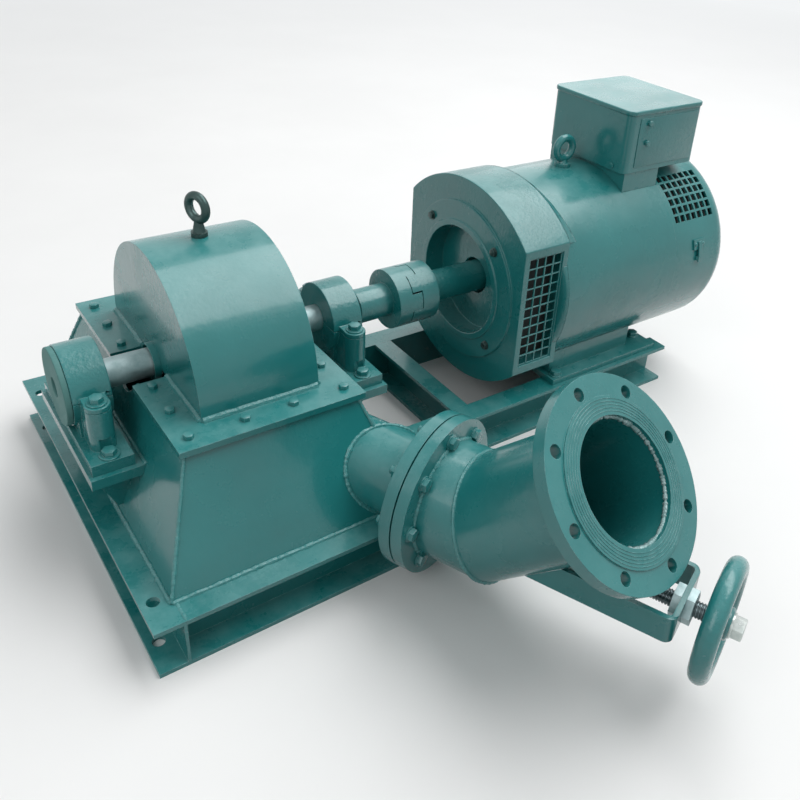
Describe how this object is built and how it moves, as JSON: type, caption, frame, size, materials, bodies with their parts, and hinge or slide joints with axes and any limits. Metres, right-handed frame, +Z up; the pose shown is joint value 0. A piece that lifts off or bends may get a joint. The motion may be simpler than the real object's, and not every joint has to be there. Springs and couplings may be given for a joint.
{
  "type": "micro hydro generator",
  "caption": "Inclined-jet water turbine with a half-round hood, claw coupling, box-topped generator and needle nozzle with a flanged inlet, on a welded channel frame.",
  "frame": {"origin": "middle of the foundation holes, on the floor under the turbine", "axes": "+X along the shaft from the turbine to the generator, +Y away from the nozzle, +Z up"},
  "size_m": [1.549, 1.383, 0.709],
  "materials": {
    "enamel": "glossy blue-green enamel on plate and sections",
    "cast_enamel": "glossy blue-green enamel on castings",
    "bare_steel": "turned bare steel, lightly oiled",
    "dark_steel": "dark forged steel",
    "gasket": "black sheet gasket"
  },
  "bodies": {
    "base": {"frame_left": "enamel", "frame_right": "enamel", "frame_front": "enamel", "frame_back": "enamel", "rail_front": "enamel", "rail_back": "enamel", "cross_front": "enamel", "cross_end": "enamel", "case_box": "enamel", "case_plate": "enamel", "hood": "enamel", "gland_left": "enamel", "gland_right": "enamel", "hood_eye": "dark_steel", "shelf_left": "enamel", "shelf_right": "enamel", "bearing_left_base": "cast_enamel", "bearing_left_cap": "cast_enamel", "bearing_left_cover": "cast_enamel", "bearing_right_base": "cast_enamel", "bearing_right_cap": "cast_enamel", "generator_bracket": "cast_enamel", "bracket_grille_front": "enamel", "bracket_grille_back": "enamel", "generator_body": "enamel", "rear_cover": "enamel", "cover_latch": "enamel", "generator_feet": "enamel", "connection_neck": "enamel", "connection_box": "enamel", "connection_lid": "enamel", "generator_eye": "cast_enamel", "nozzle_stub": "enamel", "nozzle_gasket": "gasket", "nozzle_neck": "enamel", "inlet_pipe": "enamel", "needle_gland": "enamel", "yoke": "enamel", "yoke_nut": "bare_steel"},
    "rotor": {"turbine_shaft": "bare_steel", "coupling_turbine": "cast_enamel", "coupling_generator": "cast_enamel", "generator_shaft": "cast_enamel"},
    "needle": {"needle_rod": "bare_steel"},
    "handwheel": {"handwheel": "cast_enamel"}
  },
  "joints": [
    {"name": "rotor_spin", "type": "hinge", "parent": "base", "child": "rotor", "pos_m": [0, 0, 0.325], "axis": [1, 0, 0], "continuous": true},
    {"name": "needle_slide", "type": "slide", "parent": "base", "child": "needle", "axis": [0.3859, -0.9225, 0], "range_m": [0, 0.04]},
    {"name": "wheel_turn", "type": "hinge", "parent": "needle", "child": "handwheel", "pos_m": [0.195, -0.3369, 0.172], "axis": [0.3859, -0.9225, 0], "range_deg": [0, 2880]}
  ],
  "couplings": [
    {"joint": "needle_slide", "follows": "wheel_turn", "m_per_rad": 0.000795}
  ]
}
